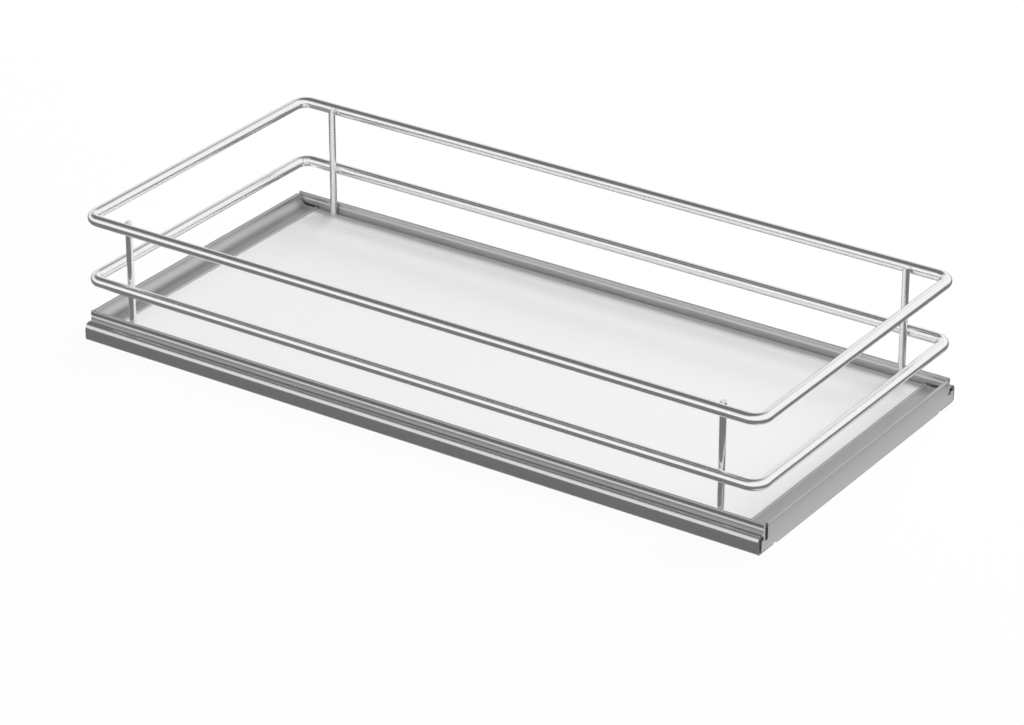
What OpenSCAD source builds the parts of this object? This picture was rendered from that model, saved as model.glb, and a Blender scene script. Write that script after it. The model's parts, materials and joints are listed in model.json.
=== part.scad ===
// Pull out cabinet basket: a shallow framed tray with two chromed guard rails,
// carried on a pair of flat-laid ball runners that screw to a cabinet floor.
// X is the pull-out direction (front is +X), Z is up and the part stands on Z = 0.

/* [Overall] */
// Length over the two end profiles
tray_l = 500; // [400:10:600]
// Width over the two cabinet rails
overall_w = 236; // [200:2:560]
// How far the tray pulls out
travel = 350; // [250:10:360]

/* [Guard rails] */
// Diameter of the rail rod
rod_d = 7.3; // [5:0.1:8]
// Diameter of the upright posts
post_d = 4.5; // [4:0.1:6]
// Height of the top rail's centre line
top_rail_z = 84.8; // [60:0.1:140]
// Height of the lower rail's centre line
lower_rail_z = 42.1; // [30:0.1:50]
// Centre-line radius of the rails' corners
bend_r = 8.5; // [6:0.5:20]
// Rail centre line in from each end of the tray
rail_end_inset = 4.2; // [3.5:0.1:12]
// Rail centre line in from each side of the part
rail_side_inset = 4.87; // [4.5:0.01:6]
// Post centre line in from each end of the tray
post_inset = 32.3; // [24:0.1:60]
// How far the guard rails sit towards the rear, from the middle of the tray
guard_set_back = 0.4; // [0:0.1:2]
// How far a post stands above the top rail's centre line
post_rise = 2.8; // [0.5:0.1:3]
// Chamfer on the tip of a post
post_tip = 0.4; // [0.2:0.1:1]
// How deep each post is welded into the rods
weld_sink = 0.1; // [0.05:0.05:0.3]

/* [Side profiles] */
// Thickness of the side wall
wall_t = 1.9; // [1.6:0.1:3]
// Height of the side wall's top edge
wall_top = 18.75; // [17:0.05:30]
// Height of the bead along the top of the side wall
bead_h = 3.05; // [2:0.05:4]
// Depth of the groove under the bead, outside
outer_groove = 0.8; // [0.4:0.05:0.9]
// Depth of the groove under the bead, inside
inner_groove = 0.4; // [0.2:0.05:0.5]
// Height of the outer groove
groove_h = 1.5; // [1:0.1:2]
// Height of the inner groove
inner_groove_h = 1; // [0.6:0.1:1.5]
// Height of the undercut above the grooves' deepest line
undercut_h = 0.3; // [0.1:0.1:0.5]
// Radius of the bead's edges
bead_edge_r = 0.9; // [0.4:0.1:0.9]
// Width of the flange that carries the floor
flange_w = 24; // [20:0.5:30]
// Thickness of the flange
flange_t = 1.4; // [1:0.1:2]
// Height of the step outside the wall, which closes the gap beside the cabinet rail's roll
step_top = 12.2; // [11.8:0.1:12.6]
// Thickness of that step
step_t = 1.3; // [1:0.1:1.6]
// Gap between that step and the roll
step_gap = 0.4; // [0.4:0.1:1]
// How far the side profiles and cabinet rails stop short of the front face
front_set_back = 0.9; // [0.5:0.1:2]
// How far the side profiles and cabinet rails stop short of the rear face
rear_set_back = 1.1; // [0.5:0.1:2.2]

/* [End profiles] */
// Thickness of the end wall
end_t = 2.4; // [2:0.1:3]
// Height of the end profiles' top edge
end_top = 17.9; // [17.6:0.1:30]
// Height of the end profiles' bottom edge
end_foot = 0.2; // [0.2:0.1:1]
// Radius of the end wall's top edges
end_edge_r = 0.9; // [0.3:0.1:1]
// Radius of the end wall's bottom edge
foot_edge_r = 0.3; // [0.2:0.1:1]
// Radius of the cove inside the end wall
cove_r = 6.5; // [4:0.1:6.6]
// Thickness of the coved shelf over the floor's edge
shelf_t = 0.65; // [0.4:0.05:1]
// Radius of the rounded ridge where the floor begins
ridge_r = 1.35; // [1:0.05:1.6]
// Visible floor edge, in from each end of the tray
floor_inset = 17.5; // [15:0.1:22]
// Width of the ledge under the floor panel's edge
ledge_w = 21.6; // [20:0.1:30]
// Slit between an end profile and the side wall
corner_slit = 1.6; // [0.6:0.1:2]
// Gap between the rear end profile's skirt and a cabinet rail
skirt_gap = 1; // [0.6:0.1:2]
// Height of the front end profile's cover, outside the side walls
cover_top = 9; // [8.4:0.1:9.4]
// Gap between that cover and a cabinet rail's outer flange
cover_gap = 0.7; // [0.5:0.1:2]

/* [Floor] */
// Thickness of the floor panel
sheet_t = 1; // [0.8:0.1:2]
// How far the floor panel runs in under the ridge
sheet_hold = 4; // [3:0.1:6]
// Gap beyond the floor panel's ends, inside their slots
sheet_end_gap = 0.3; // [0.1:0.1:1]
// Gap between the floor panel and the side walls
sheet_side_gap = 0.5; // [0.2:0.1:1]

/* [Runners] */
// Width of a cabinet rail
rail_w = 20; // [19:0.5:26]
// Wall thickness of the cabinet rail's flanges
lip_t = 2.4; // [2:0.1:3]
// Height of the cabinet rail's outer flange
lip_h = 12.2; // [11.8:0.1:12.8]
// Outer radius of the roll along the top of the outer flange
roll_r = 4; // [3:0.1:4.2]
// Thickness of the cabinet rail's web
web_t = 1.2; // [1:0.1:1.5]
// Outside radius of the cabinet rail's bottom corners
rail_corner_r = 2.2; // [1:0.1:2.4]
// Inside radius of the cabinet rail's bottom corners
rail_fillet_r = 1; // [0.5:0.1:1.2]
// Radius of the edges along the cabinet rail's flanges
lip_edge_r = 0.5; // [0.2:0.1:0.6]
// Height of the tray rail
tray_rail_h = 5.2; // [5:0.1:6]
// Wall thickness of the tray rail
tray_rail_t = 1.8; // [1.6:0.1:2]
// Space between a cabinet rail's flange and the tray rail
ball_gap = 2.2; // [2:0.1:2.6]
// Diameter of the balls
ball_d = 3; // [2.8:0.1:3.4]
// How far the balls sit below the middle of the tray rail
ball_drop = 0.2; // [0:0.1:0.4]
// Spacing of the balls along the cage
ball_pitch = 10; // [6:0.5:16]
// Thickness of the ball cage's sheet
cage_t = 0.6; // [0.4:0.1:0.7]
// Sheet left beyond the last ball at each end of the cage
cage_end = 2.5; // [2:0.1:4]
// Height of the cage above the balls
cage_rim = 0.5; // [0.3:0.1:0.8]
// Length of the rear buffers
buffer_l = 3.1; // [2:0.1:6]
// Radius of the rear buffers' edges
buffer_edge_r = 1; // [0.6:0.1:1.4]
// Length of a stop lug, along the rail
lug_l = 2; // [1.5:0.1:3]
// How far the front stop lug reaches up past the tray rail's bottom edge
lug_rise = 0.8; // [0.6:0.1:1.2]
// Gap between the front stop lug and the end of the inner flange
lug_set_back = 0.2; // [0.1:0.1:1]

/* [Fixing holes] */
// Diameter of the screw holes in the cabinet rails
hole_d = 4.5; // [3.5:0.1:5]
// Spacing of the screw holes along a cabinet rail
hole_pitch = 160; // [96:32:160]
// First screw hole, in from a cabinet rail's rear end
hole_inset = 24.9; // [16:0.1:60]
// Diameter of the countersink
sink_d = 7.6; // [6:0.1:9]
// Depth of the countersink
sink_depth = 0.6; // [0.3:0.1:0.8]

/* [Fasteners and brackets] */
// Thickness of the corner brackets
bracket_t = 1.5; // [1:0.1:2]
// Length of a corner bracket's plate
bracket_l = 20.5; // [16:0.5:30]
// Width of a corner bracket
bracket_w = 12; // [9:0.5:12]
// Gap between a bracket and the edge of the end profile's skirt
bracket_inset = 0.5; // [0.3:0.1:2]
// Height of a bracket's bottom edge above the end profile's
bracket_foot = 1.2; // [0.5:0.1:2]
// Diameter of the corner screws
corner_screw_d = 3; // [2.5:0.1:4]
// How deep a corner screw runs into an end wall
corner_screw_hold = 1.2; // [0.8:0.1:1.6]
// Diameter of the screws that hold the posts
post_screw_d = 2.5; // [2:0.1:3]
// How deep a post screw runs into its post
post_screw_hold = 7; // [4:0.5:14]
// Diameter of the tray rail rivets
rivet_d = 4; // [3:0.1:4]
// Height of the screw and rivet heads
head_h = 1.4; // [1:0.1:1.6]
// Width of a screw head, as a multiple of the screw's diameter
screw_head = 1.7; // [1.5:0.05:1.9]
// Width of a rivet head, as a multiple of the rivet's diameter
rivet_head = 1.5; // [1.3:0.05:1.6]
// Spacing of the tray rail rivets
rivet_pitch = 100; // [60:5:120]

/* [Clearances] */
// Running clearance of a ball in its groove and its cage
ball_clear = 0.1; // [0.05:0.01:0.1]
// Gap between parts that slide past each other
slide_gap = 0.4; // [0.3:0.05:0.6]
// Gap left at the end stops
stop_gap = 0.3; // [0.2:0.05:0.6]
// Gap between a post and the side wall
post_gap = 0.1; // [0.05:0.01:0.3]
// Fitting clearance of parts that are fixed together
fit_gap = 0.1; // [0.05:0.01:0.2]
// Clearance of a fastener in its hole
hole_gap = 0.05; // [0.02:0.01:0.1]

/* [Hidden] */
$fn = 48;
eps = 0.01;
// How far a cut runs on past the face that it opens
past = 1;
half_l = tray_l / 2;
half_w = overall_w / 2;

// Heights, from the cabinet floor up
cage_z = web_t + slide_gap;
tray_rail_z = cage_z + cage_t + slide_gap;
deck_z = tray_rail_z + tray_rail_h;
sheet_z = deck_z + flange_t;
floor_z = sheet_z + sheet_t;
slot_z = floor_z + fit_gap / 2;
shelf_z = slot_z + shelf_t;
inner_lip_h = deck_z - slide_gap;
ball_z = tray_rail_z + tray_rail_h / 2 - ball_drop;
bead_z = wall_top - bead_h;
front_foot = web_t + slide_gap;

// Places across the part, measured from its middle
loop_y = half_w - rail_side_inset;
post_y = loop_y - rod_d / 2 - post_d / 2 + weld_sink;
wall_in = post_y + post_d / 2 + post_gap;
wall_out = wall_in + wall_t;
rail_y = half_w - rail_w / 2;
tray_rail_half = rail_w / 2 - lip_t - ball_gap;
tray_rail_out = rail_y + tray_rail_half;
groove_off = tray_rail_half + ball_gap / 2;
groove_r = ball_d / 2 + ball_clear;
cover_half = half_w - lip_t - cover_gap;
flange_in = wall_in - flange_w;
end_half = wall_in - corner_slit;
between_rails = half_w - rail_w - skirt_gap;

// Places along the part, measured from its middle
function post_place(end) = end * post_x - guard_set_back;
loop_x = half_l - rail_end_inset;
post_x = half_l - post_inset;
end_in = half_l - end_t;
ridge_x = half_l - floor_inset + ridge_r;
sheet_half = half_l - floor_inset + sheet_hold;
rail_front = half_l - front_set_back;
rail_rear = -(half_l - rear_set_back);
inner_lip_front = end_in - slide_gap;
tray_rail_front = end_in - fit_gap;
buffer_front = rail_rear + buffer_l;
tray_rail_rear = buffer_front + stop_gap;
tab_front = tray_rail_rear + lug_l;
lug_front = inner_lip_front - lug_set_back;
lug_rear = lug_front - lug_l;
cage_rear = tab_front + travel / 2 + stop_gap;
cage_front = lug_rear - stop_gap - travel / 2;

// Runner details
cage_top = ball_z + ball_d / 2 + cage_rim;
lug_half = tray_rail_half - tray_rail_t - slide_gap;
lug_top = tray_rail_z + lug_rise;
ball_margin = ball_d / 2 + cage_end;
ball_steps = floor((cage_front - cage_rear - 2 * ball_margin) / ball_pitch);
ball_x0 = (cage_front + cage_rear - ball_steps * ball_pitch) / 2;

// Bracket and fastener details
bracket_y = between_rails - bracket_inset - bracket_w / 2;
bracket_x = end_in - fit_gap;
corner_screw_x = bracket_x - bracket_l / 2;
corner_screw_z = deck_z - bracket_t - screw_head * corner_screw_d / 2 - fit_gap;
rivet_y = rail_y;
rivet_x = [for (i = [-1.5:1:1.5]) i * rivet_pitch];

chrome_colour = [0.80, 0.80, 0.80];
aluminium_colour = [0.72, 0.72, 0.71];
panel_colour = [0.93, 0.93, 0.92];
zinc_colour = [0.62, 0.62, 0.62];
cage_colour = [0.50, 0.50, 0.50];
plastic_colour = [0.25, 0.25, 0.26];

SIDES = [-1, 1];

// Mirrors its children to the left when side is -1
module on_side(side) mirror([0, side < 0 ? 1 : 0, 0]) children();

// Mirrors its children to the rear when end is -1
module on_end(end) mirror([end < 0 ? 1 : 0, 0, 0]) children();

// Runs a section drawn as [y, z] along X from x0 to x1
module along_x(x0, x1) translate([x0, 0, 0]) rotate([90, 0, 90]) linear_extrude(x1 - x0) children();

// Runs a section drawn as [x, z] along Y, half on each side of the middle
module along_y(half) translate([0, half, 0]) rotate([90, 0, 0]) linear_extrude(2 * half) children();

// A rectangle from one corner to the opposite one
module area(a, b) translate(a) square(b - a);

// What rounding takes off a convex corner that points to [sx, sy]
module corner_off(corner, r, sx, sy) {
  difference() {
    translate([corner[0] - (sx > 0 ? r : eps), corner[1] - (sy > 0 ? r : eps)]) square(r + eps);
    translate([corner[0] - sx * r, corner[1] - sy * r]) circle(r);
  }
}

// What a fillet adds in a concave corner whose open side is towards [sx, sy]
module corner_fill(corner, r, sx, sy) {
  difference() {
    translate([corner[0] - (sx > 0 ? eps : r), corner[1] - (sy > 0 ? eps : r)]) square(r + eps);
    translate([corner[0] + sx * r, corner[1] + sy * r]) circle(r);
  }
}

// One quarter bend of rod about the Z axis, from +X round to +Y
module rod_bend() rotate_extrude(angle = 90) translate([bend_r, 0]) circle(d = rod_d);

// A closed loop of round rod with four bends
module rod_loop(z) {
  straight_x = loop_x - bend_r;
  straight_y = loop_y - bend_r;
  translate([-guard_set_back, 0, z]) union() {
    for (s = SIDES) {
      translate([-straight_x, s * loop_y, 0]) rotate([0, 90, 0]) cylinder(d = rod_d, h = 2 * straight_x);
      translate([s * loop_x, straight_y, 0]) rotate([90, 0, 0]) cylinder(d = rod_d, h = 2 * straight_y);
    }
    translate([straight_x, straight_y, 0]) rod_bend();
    translate([-straight_x, straight_y, 0]) rotate([0, 0, 90]) rod_bend();
    translate([-straight_x, -straight_y, 0]) rotate([0, 0, 180]) rod_bend();
    translate([straight_x, -straight_y, 0]) rotate([0, 0, 270]) rod_bend();
  }
}

module top_rail() color(chrome_colour) rod_loop(top_rail_z);

module lower_rail() color(chrome_colour) rod_loop(lower_rail_z);

// An upright post with a chamfered tip and a blind screw hole in its foot
module post(end, side) {
  top = top_rail_z + post_rise;
  color(chrome_colour) translate([post_place(end), side * post_y, 0]) difference() {
    union() {
      translate([0, 0, floor_z]) cylinder(d = post_d, h = top - post_tip - floor_z);
      translate([0, 0, top - post_tip])
        cylinder(d1 = post_d, d2 = post_d - 2 * post_tip, h = post_tip);
    }
    translate([0, 0, floor_z - past])
      cylinder(d = post_screw_d + 2 * hole_gap, h = post_screw_hold + 2 * past);
  }
}

// Section of a side profile: bead, wall, outer step and the flange under the floor
module side_section() {
  difference() {
    union() {
      area([wall_in, deck_z], [wall_out, wall_top]);
      area([flange_in, deck_z], [wall_out, sheet_z]);
      area([wall_in, step_top - step_t], [half_w - roll_r - step_gap, step_top]);
    }
    corner_off([wall_in, wall_top], bead_edge_r, -1, 1);
    corner_off([wall_out, wall_top], bead_edge_r, 1, 1);
    polygon([
      [wall_out + eps, bead_z],
      [wall_out - outer_groove, bead_z - undercut_h],
      [wall_out + eps, bead_z - groove_h]
    ]);
    polygon([
      [wall_in - eps, bead_z],
      [wall_in + inner_groove, bead_z - undercut_h],
      [wall_in - eps, bead_z - inner_groove_h]
    ]);
  }
}

// Long side frame of the tray, with rivet and screw holes in its flange
module side_profile(side) {
  flange_end = end_in - fit_gap;
  color(aluminium_colour) on_side(side) difference() {
    along_x(rail_rear, rail_front) side_section();
    for (end = SIDES)
      on_end(end) translate([flange_end, flange_in - past, deck_z - past])
        cube([end_t + past, flange_w + past - fit_gap, flange_t + 2 * past]);
    for (x = rivet_x)
      translate([x, rivet_y, deck_z - past])
        cylinder(d = rivet_d + 2 * hole_gap, h = flange_t + 2 * past);
    for (end = SIDES) {
      translate([post_place(end), post_y, deck_z - past])
        cylinder(d = post_screw_d + 2 * hole_gap, h = flange_t + 2 * past);
      translate([end * corner_screw_x, bracket_y, deck_z - past])
        cylinder(d = corner_screw_d + 2 * hole_gap, h = flange_t + 2 * past);
    }
  }
}

// Section of an end profile above the floor: wall, cove, shelf and ridge
module end_section() {
  difference() {
    union() {
      area([end_in, sheet_z], [half_l, end_top]);
      area([ridge_x, slot_z], [end_in + eps, shelf_z]);
      area([sheet_half + sheet_end_gap, sheet_z], [end_in + eps, slot_z + eps]);
      corner_fill([end_in, shelf_z], cove_r, -1, 1);
      intersection() {
        translate([ridge_x, slot_z]) circle(ridge_r);
        area([ridge_x - ridge_r, slot_z], [ridge_x + ridge_r, slot_z + ridge_r]);
      }
    }
    corner_off([half_l, end_top], end_edge_r, 1, 1);
    corner_off([end_in, end_top], end_edge_r, -1, 1);
  }
}

// End frame of the tray. The rear one clears the cabinet rails; the front one runs out
// over their webs and closes the runners' ends
module end_profile(end) {
  low_top = deck_z - 2 * fit_gap;
  cover_step = wall_out + fit_gap;
  color(aluminium_colour) on_end(end) difference() {
    union() {
      along_y(end_half) end_section();
      along_y(flange_in - fit_gap) area([end_in - ledge_w, deck_z], [end_in + eps, sheet_z]);
      along_y(between_rails) area([end_in, end_foot], [half_l, sheet_z + eps]);
      along_y(end_half) area([end_in, end > 0 ? front_foot : deck_z], [half_l, sheet_z + eps]);
      if (end > 0) {
        along_y(cover_half) area([end_in, front_foot], [half_l, low_top]);
        for (side = SIDES) on_side(side) translate([end_in, cover_step, low_top - eps])
          cube([end_t, cover_half - cover_step, cover_top - low_top + eps]);
      }
    }
    along_y(between_rails) corner_off([half_l, end_foot], foot_edge_r, 1, -1);
    for (side = SIDES)
      translate([end_in - past, side * bracket_y, corner_screw_z]) rotate([0, 90, 0])
        cylinder(d = corner_screw_d + 2 * hole_gap, h = corner_screw_hold + past + hole_gap);
  }
}

module front_end_profile() end_profile(1);

module rear_end_profile() end_profile(-1);

// Coated sheet held in the end profiles' slots, with holes for the post screws
module floor_panel() {
  sheet_side = wall_in - sheet_side_gap;
  color(panel_colour) difference() {
    translate([-sheet_half, -sheet_side, sheet_z]) cube([2 * sheet_half, 2 * sheet_side, sheet_t]);
    for (end = SIDES)
      for (side = SIDES)
        translate([post_place(end), side * post_y, sheet_z - past])
          cylinder(d = post_screw_d + 2 * hole_gap, h = sheet_t + 2 * past);
  }
}

// The two ball grooves of a runner, as a section
module groove_section() {
  for (s = SIDES) translate([rail_y + s * groove_off, ball_z]) circle(groove_r);
}

// The part of a cabinet rail's section that runs its full length: web, outer flange and roll
module outer_section() {
  lip_in = half_w - lip_t;
  roll_y = half_w - roll_r;
  roll_z = lip_h - roll_r;
  difference() {
    union() {
      area([half_w - rail_w + lip_t, 0], [half_w, web_t]);
      area([lip_in, 0], [half_w, roll_z + eps]);
      intersection() {
        translate([roll_y, roll_z]) circle(roll_r);
        area([roll_y, roll_z], [half_w, lip_h]);
      }
      corner_fill([lip_in, web_t], rail_fillet_r, -1, 1);
    }
    translate([roll_y, roll_z]) circle(roll_r - lip_t);
    corner_off([half_w, 0], rail_corner_r, 1, -1);
    corner_off([roll_y, lip_h], lip_edge_r, -1, 1);
    groove_section();
  }
}

// The cabinet rail's inner flange, which stops behind the front end profile
module inner_section() {
  lip_out = half_w - rail_w;
  lip_in = lip_out + lip_t;
  difference() {
    union() {
      area([lip_out, 0], [lip_in, inner_lip_h]);
      area([lip_in - eps, 0], [lip_in + rail_fillet_r, web_t]);
      corner_fill([lip_in, web_t], rail_fillet_r, 1, 1);
    }
    corner_off([lip_out, 0], rail_corner_r, -1, -1);
    corner_off([lip_out, inner_lip_h], lip_edge_r, -1, 1);
    corner_off([lip_in, inner_lip_h], lip_edge_r, 1, 1);
    groove_section();
  }
}

// Outer member of a runner: a channel laid flat, screwed down through its web
module cabinet_rail(side) {
  color(zinc_colour) on_side(side) difference() {
    union() {
      along_x(rail_rear, rail_front) outer_section();
      along_x(rail_rear, inner_lip_front) inner_section();
      translate([lug_rear, rail_y - lug_half, web_t - eps]) cube([lug_l, 2 * lug_half, lug_top - web_t]);
    }
    for (i = [0:2]) translate([rail_rear + hole_inset + i * hole_pitch, rail_y, 0]) {
      translate([0, 0, -past]) cylinder(d = hole_d, h = web_t + 2 * past);
      translate([0, 0, web_t - sink_depth]) cylinder(d1 = hole_d, d2 = sink_d, h = sink_depth + eps);
    }
  }
}

// Inner member of a runner: a channel turned over, with a tab that pushes the cage
module tray_rail(side) {
  hollow_half = tray_rail_half - tray_rail_t;
  color(zinc_colour) on_side(side) difference() {
    union() {
      along_x(tray_rail_rear, tray_rail_front) difference() {
        area([rail_y - tray_rail_half, tray_rail_z], [rail_y + tray_rail_half, deck_z]);
        area([rail_y - hollow_half, tray_rail_z - past], [rail_y + hollow_half, deck_z - web_t]);
        groove_section();
      }
      translate([tray_rail_rear, rail_y - lug_half, cage_z + fit_gap])
        cube([lug_l, 2 * lug_half, deck_z - web_t - cage_z]);
    }
    for (x = rivet_x)
      translate([x, rivet_y, deck_z - web_t - past])
        cylinder(d = rivet_d + 2 * hole_gap, h = web_t + 2 * past);
    for (end = SIDES) translate([post_place(end), post_y, 0]) {
      translate([0, 0, deck_z - web_t - past])
        cylinder(d = post_screw_d + 2 * hole_gap, h = web_t + 2 * past);
      translate([0, 0, cage_z])
        cylinder(d = screw_head * post_screw_d + 2 * slide_gap, h = deck_z - web_t - cage_z);
    }
  }
}

// Places a child at every ball of one runner
module at_balls() {
  for (s = SIDES)
    for (i = [0:ball_steps])
      translate([ball_x0 + i * ball_pitch, rail_y + s * groove_off, ball_z]) children();
}

// Sheet cage that keeps the balls apart and travels half as far as the tray
module ball_cage(side) {
  leg_out = groove_off + cage_t / 2;
  leg_in = groove_off - cage_t / 2;
  color(cage_colour) on_side(side) difference() {
    along_x(cage_rear, cage_front) difference() {
      area([rail_y - leg_out, cage_z], [rail_y + leg_out, cage_top]);
      area([rail_y - leg_in, cage_z + cage_t], [rail_y + leg_in, cage_top + past]);
    }
    at_balls() rotate([90, 0, 0]) cylinder(r = groove_r, h = 2 * cage_t, center = true);
  }
}

// The balls of one runner
module balls(side) color(chrome_colour) on_side(side) at_balls() sphere(d = ball_d, $fn = 24);

// Buffer across the closed end of a cabinet rail
module rear_buffer(side) {
  half = rail_w / 2 - lip_t - fit_gap;
  color(plastic_colour) on_side(side) along_x(rail_rear, buffer_front) difference() {
    area([rail_y - half, web_t], [rail_y + half, inner_lip_h]);
    corner_off([rail_y - half, web_t], buffer_edge_r, -1, -1);
    corner_off([rail_y + half, web_t], buffer_edge_r, 1, -1);
    corner_off([rail_y - half, inner_lip_h], buffer_edge_r, -1, 1);
    corner_off([rail_y + half, inner_lip_h], buffer_edge_r, 1, 1);
  }
}

// Angle bracket that ties an end profile to a side profile's flange
module corner_bracket(end, side) {
  foot = end_foot + bracket_foot;
  color(zinc_colour) on_end(end) on_side(side) difference() {
    translate([0, bracket_y + bracket_w / 2, 0]) rotate([90, 0, 0]) linear_extrude(bracket_w) union() {
      area([bracket_x - bracket_l, deck_z - bracket_t], [bracket_x, deck_z]);
      area([bracket_x - bracket_t, foot], [bracket_x, deck_z]);
    }
    translate([corner_screw_x, bracket_y, deck_z - bracket_t - past])
      cylinder(d = corner_screw_d + 2 * hole_gap, h = bracket_t + 2 * past);
    translate([bracket_x - bracket_t - past, bracket_y, corner_screw_z]) rotate([0, 90, 0])
      cylinder(d = corner_screw_d + 2 * hole_gap, h = bracket_t + 2 * past);
  }
}

// A pan-head screw with a cross recess: head below Z = 0, shank above
module screw(d, length) {
  slot = d / 5;
  head = screw_head * d;
  difference() {
    union() {
      translate([0, 0, -head_h]) cylinder(d1 = 0.8 * head, d2 = head, h = head_h / 2);
      translate([0, 0, -head_h / 2]) cylinder(d = head, h = head_h / 2);
      translate([0, 0, -eps]) cylinder(d = d, h = length + eps);
    }
    for (a = [0, 90])
      rotate([0, 0, a]) translate([-d / 2, -slot / 2, -head_h - eps]) cube([d, slot, head_h / 2]);
  }
}

// Eight screws: each bracket is screwed up to the flange and out to the end wall
module corner_screws() {
  color(zinc_colour)
    for (end = SIDES)
      for (side = SIDES)
        on_end(end) on_side(side) {
          translate([corner_screw_x, bracket_y, deck_z - bracket_t])
            screw(corner_screw_d, bracket_t + flange_t - fit_gap);
          translate([bracket_x - bracket_t, bracket_y, corner_screw_z]) rotate([0, 90, 0])
            screw(corner_screw_d, bracket_t + corner_screw_hold);
        }
}

// Four screws, up through the tray rail, flange and floor into the posts
module post_screws() {
  color(zinc_colour)
    for (end = SIDES)
      for (side = SIDES)
        translate([post_place(end), side * post_y, deck_z - web_t])
          screw(post_screw_d, floor_z - deck_z + web_t + post_screw_hold);
}

// Rivets that hold the tray rails under the side profiles
module tray_rail_rivets() {
  color(zinc_colour)
    for (side = SIDES)
      for (x = rivet_x)
        translate([x, side * rivet_y, deck_z - web_t]) {
          translate([0, 0, -head_h])
            cylinder(d1 = 1.1 * rivet_d, d2 = rivet_head * rivet_d, h = head_h);
          translate([0, 0, -eps]) cylinder(d = rivet_d, h = web_t + flange_t - fit_gap + eps);
        }
}

top_rail();
lower_rail();
post(1, -1);  // post_front_left
post(1, 1);  // post_front_right
post(-1, -1);  // post_rear_left
post(-1, 1);  // post_rear_right
side_profile(-1);  // side_profile_left
side_profile(1);  // side_profile_right
front_end_profile();
rear_end_profile();
floor_panel();
cabinet_rail(-1);  // cabinet_rail_left
cabinet_rail(1);  // cabinet_rail_right
tray_rail(-1);  // tray_rail_left
tray_rail(1);  // tray_rail_right
ball_cage(-1);  // ball_cage_left
ball_cage(1);  // ball_cage_right
balls(-1);  // balls_left
balls(1);  // balls_right
rear_buffer(-1);  // rear_buffer_left
rear_buffer(1);  // rear_buffer_right
corner_bracket(1, -1);  // corner_bracket_front_left
corner_bracket(1, 1);  // corner_bracket_front_right
corner_bracket(-1, -1);  // corner_bracket_rear_left
corner_bracket(-1, 1);  // corner_bracket_rear_right
corner_screws();
post_screws();
tray_rail_rivets();
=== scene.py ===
"""Looks, light and camera for the pull out cabinet basket, in metres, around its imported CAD."""
import json
import math
import random

import bpy
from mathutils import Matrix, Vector, noise

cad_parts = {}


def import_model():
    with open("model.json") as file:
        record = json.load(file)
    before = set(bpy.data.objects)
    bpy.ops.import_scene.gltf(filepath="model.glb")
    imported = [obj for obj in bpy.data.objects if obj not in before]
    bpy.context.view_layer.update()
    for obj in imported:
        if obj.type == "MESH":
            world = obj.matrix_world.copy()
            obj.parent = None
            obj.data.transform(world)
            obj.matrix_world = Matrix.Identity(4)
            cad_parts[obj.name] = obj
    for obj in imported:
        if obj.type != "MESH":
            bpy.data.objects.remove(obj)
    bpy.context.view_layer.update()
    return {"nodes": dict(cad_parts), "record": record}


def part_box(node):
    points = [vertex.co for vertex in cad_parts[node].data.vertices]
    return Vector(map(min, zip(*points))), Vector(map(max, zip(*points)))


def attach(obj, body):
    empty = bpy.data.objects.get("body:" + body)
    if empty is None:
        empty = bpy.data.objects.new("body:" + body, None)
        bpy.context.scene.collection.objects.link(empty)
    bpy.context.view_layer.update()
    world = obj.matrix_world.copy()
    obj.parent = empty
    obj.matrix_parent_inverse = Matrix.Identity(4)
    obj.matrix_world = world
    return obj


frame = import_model()

# ---------------------------------------------------------------- camera
# Where the photograph was taken from, solved from the straight rods
CAMERA_PLACE = (1.2723, -1.8857, 1.1575)
CAMERA_AZIMUTH = 34.03
CAMERA_ELEVATION = 26.86
CAMERA_LENS = 142.9
CAMERA_SENSOR = 36.0
CAMERA_REACH = 50

# ---------------------------------------------------------------- studio
FLOOR_SIZE = 9.0
FLOOR_WHITE = 0.90
FLOOR_ROUGHNESS = 0.9
FLOOR_SPECULAR = 0.1
# How much of the floor is plain white to the camera and in reflections
FLOOR_GLOW = 0.95
# How strongly the world lights the scene; the camera and reflections see it white
WORLD_FILL = 0.34
KEY_POWER = 85.0
KEY_SIZE = 2.2
KEY_PLACE = (0.33, 1.88, 1.28)
# Soft-edged flag overhead that only reflections see: distance, grey level, azimuth from +X to +Y
# and elevation of its middle, and the angles from there where its edge starts and ends
FLAG_DISTANCE = 3.2
FLAG_LEVEL = 0.17
FLAG_AZIMUTH = 165
FLAG_ELEVATION = 65
FLAG_CORE = 28
FLAG_RIM = 52
FLAG_RINGS = 14
FLAG_STEPS = 48
# Grey cards just over the floor, seen only in reflections: name, level, corner, opposite corner
CARD_HEIGHT = 0.0004
FLOOR_CARDS = [
    ("card_left", 0.20, (-2.60, -2.60), (0.25, -0.118)),
    ("card_near", 0.20, (0.25, -2.60), (2.60, -0.130)),
    ("card_front", 0.80, (0.25, -0.130), (0.275, 0.60)),
    ("card_right", 0.20, (0.275, -0.130), (2.60, 2.60)),
    ("card_far", 0.25, (-0.275, 0.130), (0.275, 2.60)),
    ("card_rear", 0.30, (-2.60, -0.118), (-0.275, 2.60)),
]

# ---------------------------------------------------------------- surfaces
# The grain of a surface: even all round, or drawn out along X or Y
EVEN = (1, 1, 1)
DRAWN_ALONG_X = (0.02, 1, 1)
DRAWN_ALONG_Y = (1, 0.02, 1)
GRAIN_DETAIL = 4.0
# The middle range of a grain's values, over which a surface goes from its low to its high level
GRAIN_LOW = 0.3
GRAIN_HIGH = 0.7
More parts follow.
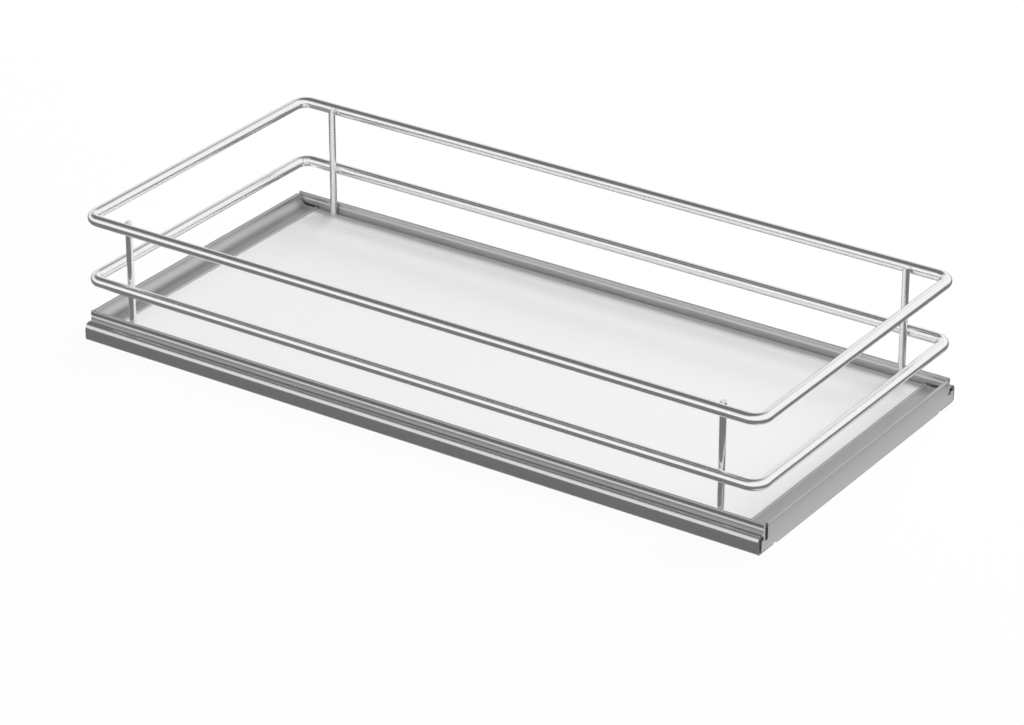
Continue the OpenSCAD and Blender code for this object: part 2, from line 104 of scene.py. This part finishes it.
# Surfaces: name, grey levels, roughness, stretch and scale of the grain, relief height in metres
METALS = {
    "chrome_rod": ("chrome", (0.87, 0.91), (0.17, 0.21), EVEN, 420, 1e-7),
    "side_frame": ("side_aluminium", (0.56, 0.60), (0.28, 0.33), DRAWN_ALONG_X, 1200, 2e-7),
    "end_frame": ("end_aluminium", (0.52, 0.56), (0.36, 0.42), DRAWN_ALONG_Y, 1200, 2e-7),
    "runner_steel": ("zinc_sheet", (0.70, 0.73), (0.20, 0.25), EVEN, 500, 2e-7),
    "ball_steel": ("polished_balls", (0.74, 0.78), (0.05, 0.09), EVEN, 500, 1e-7),
    "fastener_steel": ("zinc_fasteners", (0.60, 0.68), (0.20, 0.30), EVEN, 1500, 1e-6),
}
PANEL = ("coated_panel", (0.905, 0.92), (0.42, 0.50), EVEN, 900, 4e-6)
PANEL_SPECULAR = 0.35
PLASTIC = ("buffer_plastic", (0.018, 0.028), (0.45, 0.60), EVEN, 2600, 2e-5)
# Cut ends of the zinc-plated sheet, darkened with painted shade for the dark gaps at the tray's
# ends: how squarely a face looks along X, grey level of the painted shade, roughness
CUT_SHADE_FACING = 0.9
CUT_SHADE_GREY = 0.22
CUT_ROUGHNESS = 0.5
# A mix node's two input sockets and its output, by data type
MIX_SOCKETS = {"FLOAT": (2, 3, 0), "RGBA": (6, 7, 2)}

# ---------------------------------------------------------------- details
SMOOTH_ANGLE = 32.0
# Weld beads: size, faces round the edge, most lean, most swell, how close together their lumps
# lie, and how far a bead's lean shifts them
WELD_LENGTH = 0.0030
WELD_DEPTH = 0.0011
WELD_STEPS = 20
WELD_LEAN = 0.08
WELD_SWELL = 0.10
WELD_LUMPS = 1.7
WELD_SHIFT = 40


def camera():
    """The photograph's camera."""
    data = bpy.data.cameras.new("camera")
    data.lens = CAMERA_LENS
    data.sensor_width = CAMERA_SENSOR
    data.clip_end = CAMERA_REACH
    obj = bpy.data.objects.new("camera", data)
    azimuth, elevation = math.radians(CAMERA_AZIMUTH), math.radians(CAMERA_ELEVATION)
    back = Vector((
        math.sin(azimuth) * math.cos(elevation),
        -math.cos(azimuth) * math.cos(elevation),
        math.sin(elevation),
    ))
    obj.location = CAMERA_PLACE
    obj.rotation_euler = (-back).to_track_quat("-Z", "Y").to_euler()
    bpy.context.scene.collection.objects.link(obj)
    bpy.context.scene.camera = obj


# ---------------------------------------------------------------- shaders
def principled(material):
    """A material's principled shader."""
    return material.node_tree.nodes["Principled BSDF"]


def new_material(name):
    """A new node material, with its nodes, its links and its principled shader."""
    material = bpy.data.materials.new(name)
    material.use_nodes = True
    nodes, links = material.node_tree.nodes, material.node_tree.links
    return material, nodes, links, principled(material)


def grain(nodes, links, stretch, scale):
    """Noise in the object's own coordinates, drawn out along an axis by a small stretch value."""
    place = nodes.new("ShaderNodeTexCoord")
    mapping = nodes.new("ShaderNodeMapping")
    mapping.inputs["Scale"].default_value = stretch
    texture = nodes.new("ShaderNodeTexNoise")
    texture.inputs["Scale"].default_value = scale
    texture.inputs["Detail"].default_value = GRAIN_DETAIL
    links.new(place.outputs["Object"], mapping.inputs["Vector"])
    links.new(mapping.outputs["Vector"], texture.inputs["Vector"])
    return texture.outputs["Fac"]


def spread(nodes, links, value, low, high):
    """Maps the middle range of a grain's values to low..high."""
    remap = nodes.new("ShaderNodeMapRange")
    remap.inputs["From Min"].default_value = GRAIN_LOW
    remap.inputs["From Max"].default_value = GRAIN_HIGH
    remap.inputs["To Min"].default_value = low
    remap.inputs["To Max"].default_value = high
    links.new(value, remap.inputs["Value"])
    return remap.outputs["Result"]


def grey(nodes, links, value, low, high):
    """A neutral colour between two grey levels."""
    ramp = nodes.new("ShaderNodeValToRGB")
    ramp.color_ramp.elements[0].position = GRAIN_LOW
    ramp.color_ramp.elements[1].position = GRAIN_HIGH
    ramp.color_ramp.elements[0].color = (low, low, low, 1)
    ramp.color_ramp.elements[1].color = (high, high, high, 1)
    links.new(value, ramp.inputs["Fac"])
    return ramp.outputs["Color"]


def relief(nodes, links, value, shader, height):
    """Fine relief from a grain's values, height in metres."""
    bump = nodes.new("ShaderNodeBump")
    bump.inputs["Strength"].default_value = 1.0
    bump.inputs["Distance"].default_value = height
    links.new(value, bump.inputs["Height"])
    links.new(bump.outputs["Normal"], shader.inputs["Normal"])


def surface(name, levels, roughness, stretch, scale, height):
    """A material whose grey level, roughness and fine relief all follow one grain."""
    material, nodes, links, shader = new_material(name)
    value = grain(nodes, links, stretch, scale)
    links.new(grey(nodes, links, value, *levels), shader.inputs["Base Color"])
    links.new(spread(nodes, links, value, *roughness), shader.inputs["Roughness"])
    relief(nodes, links, value, shader, height)
    return material


def metal(row):
    """A bare or plated metal with a drawn or mottled grain."""
    material = surface(*row)
    principled(material).inputs["Metallic"].default_value = 1.0
    return material


def cut_ends_painted_shade(material):
    """Duller metal, darkened with painted shade, where the sheet was cut across its length."""
    nodes, links = material.node_tree.nodes, material.node_tree.links
    shader = principled(material)
    place = nodes.new("ShaderNodeTexCoord")
    axes = nodes.new("ShaderNodeSeparateXYZ")
    size = nodes.new("ShaderNodeMath")
    size.operation = "ABSOLUTE"
    shaded_cut = nodes.new("ShaderNodeMath")
    shaded_cut.operation = "GREATER_THAN"
    shaded_cut.inputs[1].default_value = CUT_SHADE_FACING
    links.new(place.outputs["Normal"], axes.inputs[0])
    links.new(axes.outputs["X"], size.inputs[0])
    links.new(size.outputs[0], shaded_cut.inputs[0])
    # The dark grey is painted shade; only the rougher finish belongs to the cut metal itself
    cut_shade_looks = (
        ("Base Color", "RGBA", (CUT_SHADE_GREY, CUT_SHADE_GREY, CUT_SHADE_GREY, 1)),
        ("Roughness", "FLOAT", CUT_ROUGHNESS),
    )
    for socket, kind, value in cut_shade_looks:
        mix = nodes.new("ShaderNodeMix")
        mix.data_type = kind
        first, second, result = MIX_SOCKETS[kind]
        plain = shader.inputs[socket].links[0].from_socket
        mix.inputs[second].default_value = value
        links.new(shaded_cut.outputs[0], mix.inputs["Factor"])
        links.new(plain, mix.inputs[first])
        links.new(mix.outputs[result], shader.inputs[socket])


def coated_panel():
    """Smooth off-white coat with a faint orange-peel relief."""
    material = surface(*PANEL)
    principled(material).inputs["Specular IOR Level"].default_value = PANEL_SPECULAR
    return material


def moulded_plastic():
    """Dark moulded plastic with a fine grain."""
    return surface(*PLASTIC)


def glow(name, level):
    """A plain grey emitter."""
    material, _, _, shader = new_material(name)
    shader.inputs["Base Color"].default_value = (0, 0, 0, 1)
    shader.inputs["Emission Color"].default_value = (level, level, level, 1)
    shader.inputs["Emission Strength"].default_value = 1.0
    shader.inputs["Specular IOR Level"].default_value = 0.0
    shader.inputs["Roughness"].default_value = 1.0
    return material


def materials():
    """A material for every slot of the record."""
    made = {slot: metal(row) for slot, row in METALS.items()}
    # Painted shade on the ends of the runner sheet, which face along X
    cut_ends_painted_shade(made["runner_steel"])
    made["floor"] = coated_panel()
    made["buffer_plastic"] = moulded_plastic()
    return made


# ---------------------------------------------------------------- the part
def soften(obj):
    """Shades rounds smoothly and keeps the real edges crisp."""
    obj.data.shade_smooth()
    obj.data.set_sharp_from_angle(angle=math.radians(SMOOTH_ANGLE))


def dress_nodes(looks):
    """Gives each CAD node the material of its slot."""
    for row in frame["record"]["subparts"]:
        obj = frame["nodes"][row["node"]]
        obj.data.materials.clear()
        obj.data.materials.append(looks[row["material_slot"]])
        soften(obj)


def weld_bead(name, place, out):
    """A squashed bead where a post meets a rail; out is +1 or -1 along Y, towards the rail."""
    draw = random.Random(name)
    lean = draw.uniform(-WELD_LEAN, WELD_LEAN)
    points, faces = [], []
    for i in range(1, WELD_STEPS // 2):
        polar = math.pi * i / (WELD_STEPS // 2)
        for j in range(WELD_STEPS):
            turn = 2 * math.pi * j / WELD_STEPS
            x = math.sin(polar) * math.cos(turn)
            z = math.sin(polar) * math.sin(turn)
            lump = Vector((x * WELD_LUMPS, z * WELD_LUMPS, lean * WELD_SHIFT))
            swell = 1 + WELD_SWELL * noise.noise(lump)
            points.append((
                place[0] + WELD_LENGTH / 2 * swell * (x + lean * z),
                place[1] + out * WELD_DEPTH * math.cos(polar),
                place[2] + WELD_LENGTH / 2 * swell * z,
            ))
    rings = WELD_STEPS // 2 - 1
    for i in range(rings - 1):
        for j in range(WELD_STEPS):
            a, b = i * WELD_STEPS + j, i * WELD_STEPS + (j + 1) % WELD_STEPS
            faces.append((a, b, b + WELD_STEPS, a + WELD_STEPS))
    faces.append(tuple(range(WELD_STEPS))[::-1])
    faces.append(tuple(range((rings - 1) * WELD_STEPS, rings * WELD_STEPS)))
    mesh = bpy.data.meshes.new(name)
    mesh.from_pydata(points, [], faces)
    mesh.shade_smooth()
    obj = bpy.data.objects.new(name, mesh)
    bpy.context.scene.collection.objects.link(obj)
    return obj


def weld_beads(look):
    """Beads at the eight places where the posts are welded to the rails."""
    for rail in ("top_rail", "lower_rail"):
        low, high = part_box(rail)
        height = (low.z + high.z) / 2
        for end in ("front", "rear"):
            for side in ("left", "right"):
                post_low, post_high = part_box(f"post_{end}_{side}")
                out = -1 if side == "left" else 1
                y = post_low.y if out < 0 else post_high.y
                place = ((post_low.x + post_high.x) / 2, y, height)
                bead = weld_bead(f"weld_{rail}_{end}_{side}", place, out)
                bead.data.materials.append(look)
                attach(bead, "tray")


# ---------------------------------------------------------------- studio
def background_share(nodes, links):
    """1 for camera, glossy and transmission rays, and 0 for the rays that light the scene."""
    path = nodes.new("ShaderNodeLightPath")
    total = path.outputs["Is Camera Ray"]
    for name in ("Is Glossy Ray", "Is Transmission Ray"):
        either = nodes.new("ShaderNodeMath")
        either.operation = "MAXIMUM"
        links.new(total, either.inputs[0])
        links.new(path.outputs[name], either.inputs[1])
        total = either.outputs[0]
    return total


def world():
    """White to the camera and in reflections, and an even soft fill for the part."""
    scene_world = bpy.data.worlds.new("studio")
    scene_world.use_nodes = True
    nodes, links = scene_world.node_tree.nodes, scene_world.node_tree.links
    background = nodes["Background"]
    background.inputs["Color"].default_value = (1, 1, 1, 1)
    level = nodes.new("ShaderNodeMapRange")
    level.inputs["To Min"].default_value = WORLD_FILL
    level.inputs["To Max"].default_value = 1.0
    links.new(background_share(nodes, links), level.inputs["Value"])
    links.new(level.outputs["Result"], background.inputs["Strength"])
    bpy.context.scene.world = scene_world


def floor_material():
    """Pale floor: nearly white to the camera and in reflections, with the part's shadow kept."""
    material, nodes, links, shader = new_material("pale_floor")
    shader.inputs["Base Color"].default_value = (FLOOR_WHITE, FLOOR_WHITE, FLOOR_WHITE, 1)
    shader.inputs["Roughness"].default_value = FLOOR_ROUGHNESS
    shader.inputs["Specular IOR Level"].default_value = FLOOR_SPECULAR
    white = nodes.new("ShaderNodeEmission")
    share = nodes.new("ShaderNodeMath")
    share.operation = "MULTIPLY"
    share.inputs[1].default_value = FLOOR_GLOW
    links.new(background_share(nodes, links), share.inputs[0])
    mix = nodes.new("ShaderNodeMixShader")
    links.new(share.outputs[0], mix.inputs["Fac"])
    links.new(shader.outputs["BSDF"], mix.inputs[1])
    links.new(white.outputs["Emission"], mix.inputs[2])
    links.new(mix.outputs["Shader"], nodes["Material Output"].inputs["Surface"])
    return material


def sheet_object(name, points, faces, material):
    """A staged mesh with one material."""
    mesh = bpy.data.meshes.new(name)
    mesh.from_pydata(points, [], faces)
    mesh.materials.append(material)
    obj = bpy.data.objects.new(name, mesh)
    bpy.context.scene.collection.objects.link(obj)
    return obj


def floor():
    """The pale floor that the part stands on."""
    half = FLOOR_SIZE / 2
    points = [(-half, -half, 0), (half, -half, 0), (half, half, 0), (-half, half, 0)]
    sheet_object("studio_floor", points, [(0, 1, 2, 3)], floor_material())


def only_reflections(obj):
    """Keeps a flag or card out of the picture and out of the light."""
    obj.visible_camera = False
    obj.visible_diffuse = False
    obj.visible_shadow = False
    obj.visible_volume_scatter = False


def direction(azimuth, elevation):
    """A unit vector from angles in degrees."""
    azimuth, elevation = math.radians(azimuth), math.radians(elevation)
    return Vector((
        math.cos(elevation) * math.cos(azimuth),
        math.cos(elevation) * math.sin(azimuth),
        math.sin(elevation),
    ))


def flag_material(middle):
    """Grey in the middle and white at the rim, with a soft edge between."""
    material = bpy.data.materials.new("flag")
    material.use_nodes = True
    nodes, links = material.node_tree.nodes, material.node_tree.links
    nodes.clear()
    place = nodes.new("ShaderNodeTexCoord")
    outward = nodes.new("ShaderNodeVectorMath")
    outward.operation = "NORMALIZE"
    along = nodes.new("ShaderNodeVectorMath")
    along.operation = "DOT_PRODUCT"
    along.inputs[1].default_value = middle
    angle = nodes.new("ShaderNodeMath")
    angle.operation = "ARCCOSINE"
    level = nodes.new("ShaderNodeMapRange")
    level.interpolation_type = "SMOOTHSTEP"
    level.inputs["From Min"].default_value = math.radians(FLAG_CORE)
    level.inputs["From Max"].default_value = math.radians(FLAG_RIM)
    level.inputs["To Min"].default_value = FLAG_LEVEL
    level.inputs["To Max"].default_value = 1.0
    emission = nodes.new("ShaderNodeEmission")
    output = nodes.new("ShaderNodeOutputMaterial")
    links.new(place.outputs["Object"], outward.inputs[0])
    links.new(outward.outputs["Vector"], along.inputs[0])
    links.new(along.outputs["Value"], angle.inputs[0])
    links.new(angle.outputs[0], level.inputs["Value"])
    links.new(level.outputs["Result"], emission.inputs["Strength"])
    links.new(emission.outputs["Emission"], output.inputs["Surface"])
    return material


def flag():
    """A bowl-shaped flag high over the part's rear, which gives the bright metal its dark side."""
    middle = direction(FLAG_AZIMUTH, FLAG_ELEVATION)
    turn = middle.to_track_quat("Z", "Y")
    points, faces = [FLAG_DISTANCE * middle], []
    for i in range(1, FLAG_RINGS + 1):
        polar = math.radians(FLAG_RIM) * i / FLAG_RINGS
        for j in range(FLAG_STEPS):
            around = 2 * math.pi * j / FLAG_STEPS
            local = Vector((
                math.sin(polar) * math.cos(around),
                math.sin(polar) * math.sin(around),
                math.cos(polar),
            ))
            points.append(FLAG_DISTANCE * (turn @ local))
    for j in range(FLAG_STEPS):
        after = (j + 1) % FLAG_STEPS
        faces.append((0, 1 + j, 1 + after))
        for i in range(FLAG_RINGS - 1):
            a, b = 1 + i * FLAG_STEPS + j, 1 + i * FLAG_STEPS + after
            faces.append((a, a + FLAG_STEPS, b + FLAG_STEPS, b))
    only_reflections(sheet_object("flag_overhead", points, faces, flag_material(middle)))


def floor_cards():
    """Grey cards around the part, for the faces and rods that mirror the floor."""
    for name, level, (x0, y0), (x1, y1) in FLOOR_CARDS:
        points = [(x, y, CARD_HEIGHT) for x, y in ((x0, y0), (x1, y0), (x1, y1), (x0, y1))]
        only_reflections(sheet_object(name, points, [(0, 1, 2, 3)], glow(name, level)))


def key_light():
    """One large soft lamp on the part's right, the side away from the camera."""
    data = bpy.data.lights.new("key", "AREA")
    data.energy = KEY_POWER
    data.size = KEY_SIZE
    obj = bpy.data.objects.new("key", data)
    obj.location = KEY_PLACE
    obj.rotation_euler = (-Vector(KEY_PLACE)).to_track_quat("-Z", "Y").to_euler()
    obj.visible_glossy = False
    bpy.context.scene.collection.objects.link(obj)


looks = materials()
dress_nodes(looks)
weld_beads(looks["chrome_rod"])
camera()
world()
floor()
flag()
floor_cards()
key_light()

bpy.context.scene.view_settings.view_transform = "Standard"
